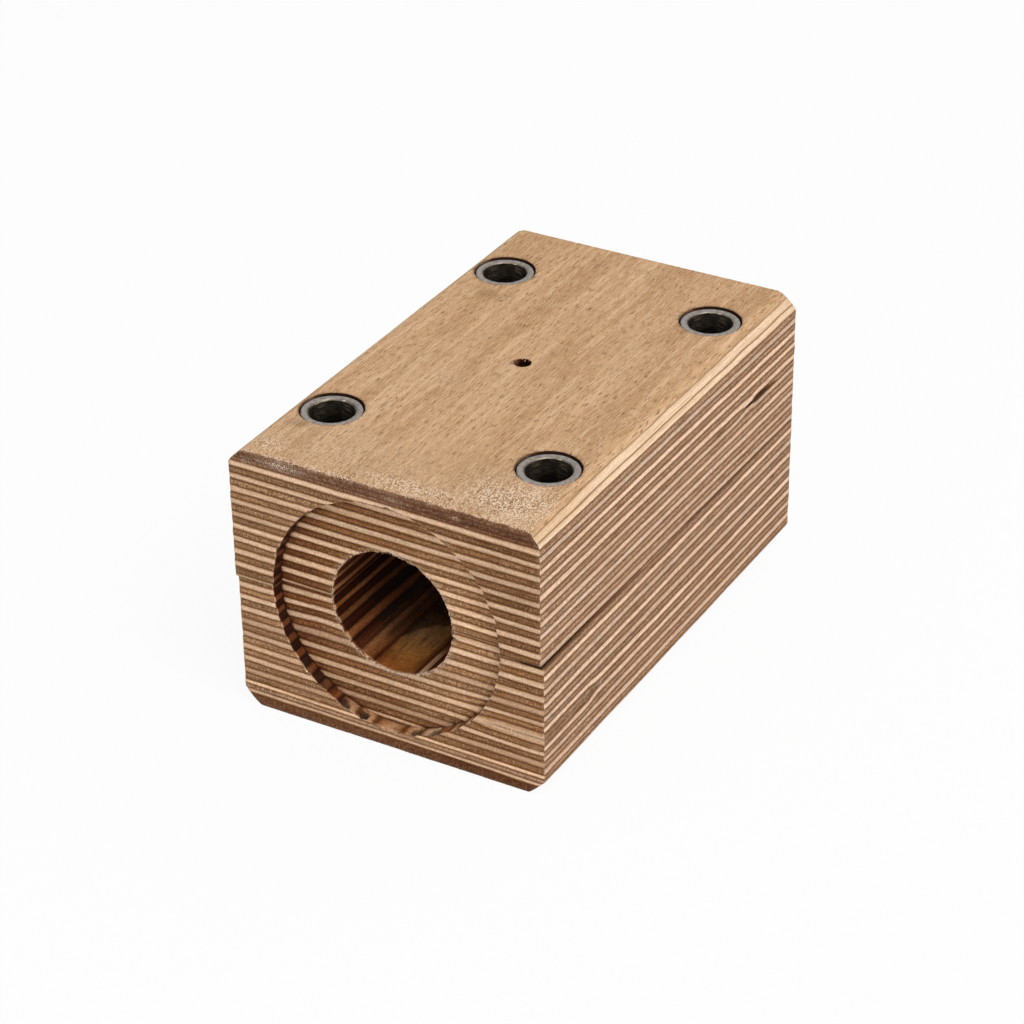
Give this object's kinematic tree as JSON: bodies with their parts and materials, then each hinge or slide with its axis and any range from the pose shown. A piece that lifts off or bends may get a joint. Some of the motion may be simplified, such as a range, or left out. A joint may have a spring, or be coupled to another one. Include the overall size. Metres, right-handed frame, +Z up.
{
  "type": "split plywood shaft bearing block",
  "caption": "Split block of glued beech plywood with a through bore for a slow shaft, a round end recess, steel bolt sleeves in its corners and an oil hole in the top.",
  "frame": {"origin": "on the base, straight under the shaft axis and halfway along the block", "axes": "+Z up from the base to the face with the oil hole, +Y along the shaft from the recessed end to the plain end, +X to the right of the recessed end"},
  "size_m": [0.0788, 0.124, 0.067],
  "materials": {
    "plywood": "sawn beech plywood, soaked in oil, with pale and brown plies",
    "sleeve_steel": "dull grey turned steel"
  },
  "bodies": {
    "root": {"upper_half": "plywood", "lower_half": "plywood", "sleeve_front_left": "sleeve_steel", "sleeve_front_right": "sleeve_steel", "sleeve_rear_left": "sleeve_steel", "sleeve_rear_right": "sleeve_steel"}
  },
  "joints": []
}
